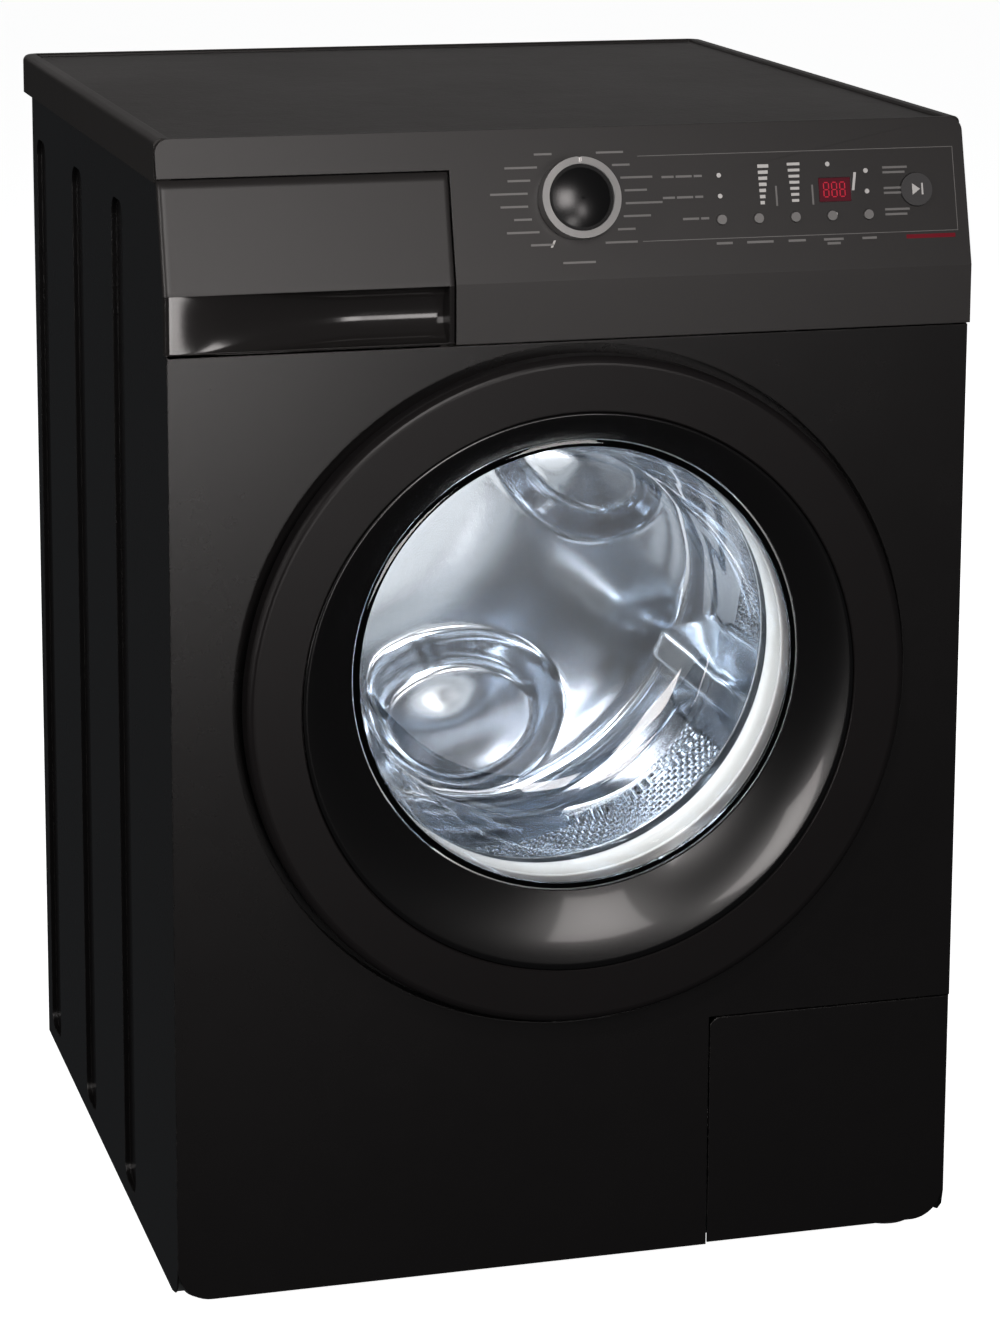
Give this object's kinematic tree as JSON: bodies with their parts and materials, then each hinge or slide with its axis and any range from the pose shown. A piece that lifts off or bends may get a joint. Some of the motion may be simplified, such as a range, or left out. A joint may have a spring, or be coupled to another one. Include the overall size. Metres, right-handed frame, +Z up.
{
  "type": "front-loading washing machine",
  "caption": "Free-standing front-loading laundry washer with sloping control fascia, detergent drawer, round glass porthole door, suspended tub and steel drum.",
  "frame": {"origin": "centre of the bounding box's footprint, on the floor that the feet stand on", "axes": "+Z up, the front with the door faces -Y, +X to the right seen from the front"},
  "size_m": [0.596, 0.65, 0.85],
  "materials": {
    "case_black": "satin black enamel",
    "top_black": "fine-textured charcoal plastic",
    "board_black": "laminated board, charcoal",
    "fascia_black": "satin charcoal plastic",
    "display": "smoked red display pane",
    "circuit": "green circuit board",
    "housing_grey": "light grey moulded plastic",
    "valve_white": "white moulded plastic",
    "rubber_black": "black rubber",
    "gasket_grey": "grey bellows rubber",
    "zinc": "galvanised steel",
    "spring_steel": "spring steel",
    "tray_grey": "light grey polypropylene",
    "cap_blue": "blue polypropylene",
    "door_black": "satin black plastic",
    "funnel_black": "piano black plastic",
    "door_glass": "clear pressed glass",
    "tub_plastic": "filled polypropylene",
    "concrete": "cast concrete",
    "motor_steel": "grey painted motor housing",
    "drum_steel": "bright stainless steel",
    "lifter_plastic": "silver grey plastic",
    "cast_aluminium": "cast aluminium",
    "knob_black": "piano black plastic",
    "knob_silver": "satin chromed plastic",
    "button_grey": "grey button caps",
    "cavity_grey": "dark grey filled polypropylene",
    "heater_steel": "heater sheath steel"
  },
  "bodies": {
    "cabinet": {"left_side_panel": "case_black", "right_side_panel": "case_black", "rear_panel": "zinc", "service_cover": "zinc", "front_panel": "case_black", "base_tray": "cavity_grey", "top_frame": "zinc", "worktop_frame": "top_black", "worktop_board": "board_black", "fascia": "fascia_black", "display_window": "display", "control_board": "circuit", "drawer_housing": "housing_grey", "inlet_valve": "valve_white", "rear_glands": "rubber_black", "door_lock": "valve_white", "door_gasket": "gasket_grey", "hinge_bracket": "zinc", "pump_body": "housing_grey", "damper_tubes": "motor_steel", "suspension_springs": "spring_steel", "inner_hoses": "rubber_black", "rear_feet": "rubber_black"},
    "drawer": {"drawer_front": "fascia_black", "drawer_tray": "tray_grey", "siphon_cap": "cap_blue"},
    "door": {"door_ring": "door_black", "door_funnel": "funnel_black", "door_glass": "door_glass", "door_back_frame": "door_black", "door_hinge": "zinc"},
    "latch": {"latch_hook": "zinc"},
    "tub": {"tub_front": "tub_plastic", "tub_rear": "tub_plastic", "front_weights": "concrete", "top_weight": "concrete", "motor_body": "motor_steel", "heater": "heater_steel", "bearing_set": "spring_steel", "drive_belt": "rubber_black", "damper_rods": "spring_steel"},
    "drum": {"drum_shell": "drum_steel", "drum_lifters": "lifter_plastic", "drum_spider": "cast_aluminium", "drum_pulley": "cast_aluminium"},
    "motor_rotor": {"motor_pulley": "spring_steel"},
    "impeller": {"pump_impeller": "cavity_grey"},
    "filter": {"filter_cap": "cavity_grey"},
    "flap": {"filter_flap": "case_black"},
    "knob": {"knob_cap": "knob_black", "knob_ring": "knob_silver"},
    "start": {"start_button": "button_grey"},
    "left_foot": {"foot_left": "rubber_black"},
    "right_foot": {"foot_right": "rubber_black"},
    "option_1": {"option_button_1": "button_grey"},
    "option_2": {"option_button_2": "button_grey"},
    "option_3": {"option_button_3": "button_grey"},
    "option_4": {"option_button_4": "button_grey"},
    "option_5": {"option_button_5": "button_grey"}
  },
  "joints": [
    {"name": "door_hinge_turn", "type": "hinge", "parent": "cabinet", "child": "door", "pos_m": [-0.228, -0.315, 0.447], "axis": [0, 0, -1], "range_deg": [0, 120]},
    {"name": "latch_tilt", "type": "hinge", "parent": "door", "child": "latch", "pos_m": [0.221, -0.314, 0.447], "axis": [0, 0, 1], "range_deg": [0, 8], "stiffness_Nm_per_rad": 1, "springref_deg": -5.73},
    {"name": "drawer_slide", "type": "slide", "parent": "cabinet", "child": "drawer", "axis": [0, -1, 0], "range_m": [0, 0.19]},
    {"name": "tub_bounce", "type": "slide", "parent": "cabinet", "child": "tub", "axis": [0, 0, 1], "range_m": [-0.005, 0.005], "stiffness_N_per_m": 30000, "springref_m": 0.01333, "deforming": ["suspension_springs", "door_gasket", "inner_hoses"]},
    {"name": "drum_spin", "type": "hinge", "parent": "tub", "child": "drum", "pos_m": [0, 0.165, 0.464], "axis": [0, 1, 0], "continuous": true},
    {"name": "motor_spin", "type": "hinge", "parent": "tub", "child": "motor_rotor", "pos_m": [0.095, 0.179, 0.112], "axis": [0, 1, 0], "continuous": true},
    {"name": "impeller_spin", "type": "hinge", "parent": "cabinet", "child": "impeller", "pos_m": [0.17, -0.2, 0.078], "axis": [0, 1, 0], "continuous": true},
    {"name": "filter_turn", "type": "hinge", "parent": "cabinet", "child": "filter", "pos_m": [0.17, -0.275, 0.078], "axis": [0, -1, 0], "range_deg": [0, 90]},
    {"name": "flap_hinge", "type": "hinge", "parent": "cabinet", "child": "flap", "pos_m": [0.2, -0.299, 0.019], "axis": [1, 0, 0], "range_deg": [0, 90]},
    {"name": "knob_turn", "type": "hinge", "parent": "cabinet", "child": "knob", "pos_m": [0.002, -0.29804, 0.80214], "axis": [0, -0.9662, 0.2577], "continuous": true},
    {"name": "start_press", "type": "slide", "parent": "cabinet", "child": "start", "axis": [0, 0.9662, -0.2577], "range_m": [0, 0.0012], "stiffness_N_per_m": 800},
    {"name": "option_1_press", "type": "slide", "parent": "cabinet", "child": "option_1", "axis": [0, 0.9662, -0.2577], "range_m": [0, 0.001], "stiffness_N_per_m": 400},
    {"name": "option_2_press", "type": "slide", "parent": "cabinet", "child": "option_2", "axis": [0, 0.9662, -0.2577], "range_m": [0, 0.001], "stiffness_N_per_m": 400},
    {"name": "option_3_press", "type": "slide", "parent": "cabinet", "child": "option_3", "axis": [0, 0.9662, -0.2577], "range_m": [0, 0.001], "stiffness_N_per_m": 400},
    {"name": "option_4_press", "type": "slide", "parent": "cabinet", "child": "option_4", "axis": [0, 0.9662, -0.2577], "range_m": [0, 0.001], "stiffness_N_per_m": 400},
    {"name": "option_5_press", "type": "slide", "parent": "cabinet", "child": "option_5", "axis": [0, 0.9662, -0.2577], "range_m": [0, 0.001], "stiffness_N_per_m": 400},
    {"name": "left_foot_screw", "type": "slide", "parent": "cabinet", "child": "left_foot", "axis": [0, 0, -1], "range_m": [0, 0.015]},
    {"name": "right_foot_screw", "type": "slide", "parent": "cabinet", "child": "right_foot", "axis": [0, 0, -1], "range_m": [0, 0.015]}
  ],
  "couplings": [
    {"joint": "motor_spin", "follows": "drum_spin", "ratio": 14}
  ]
}
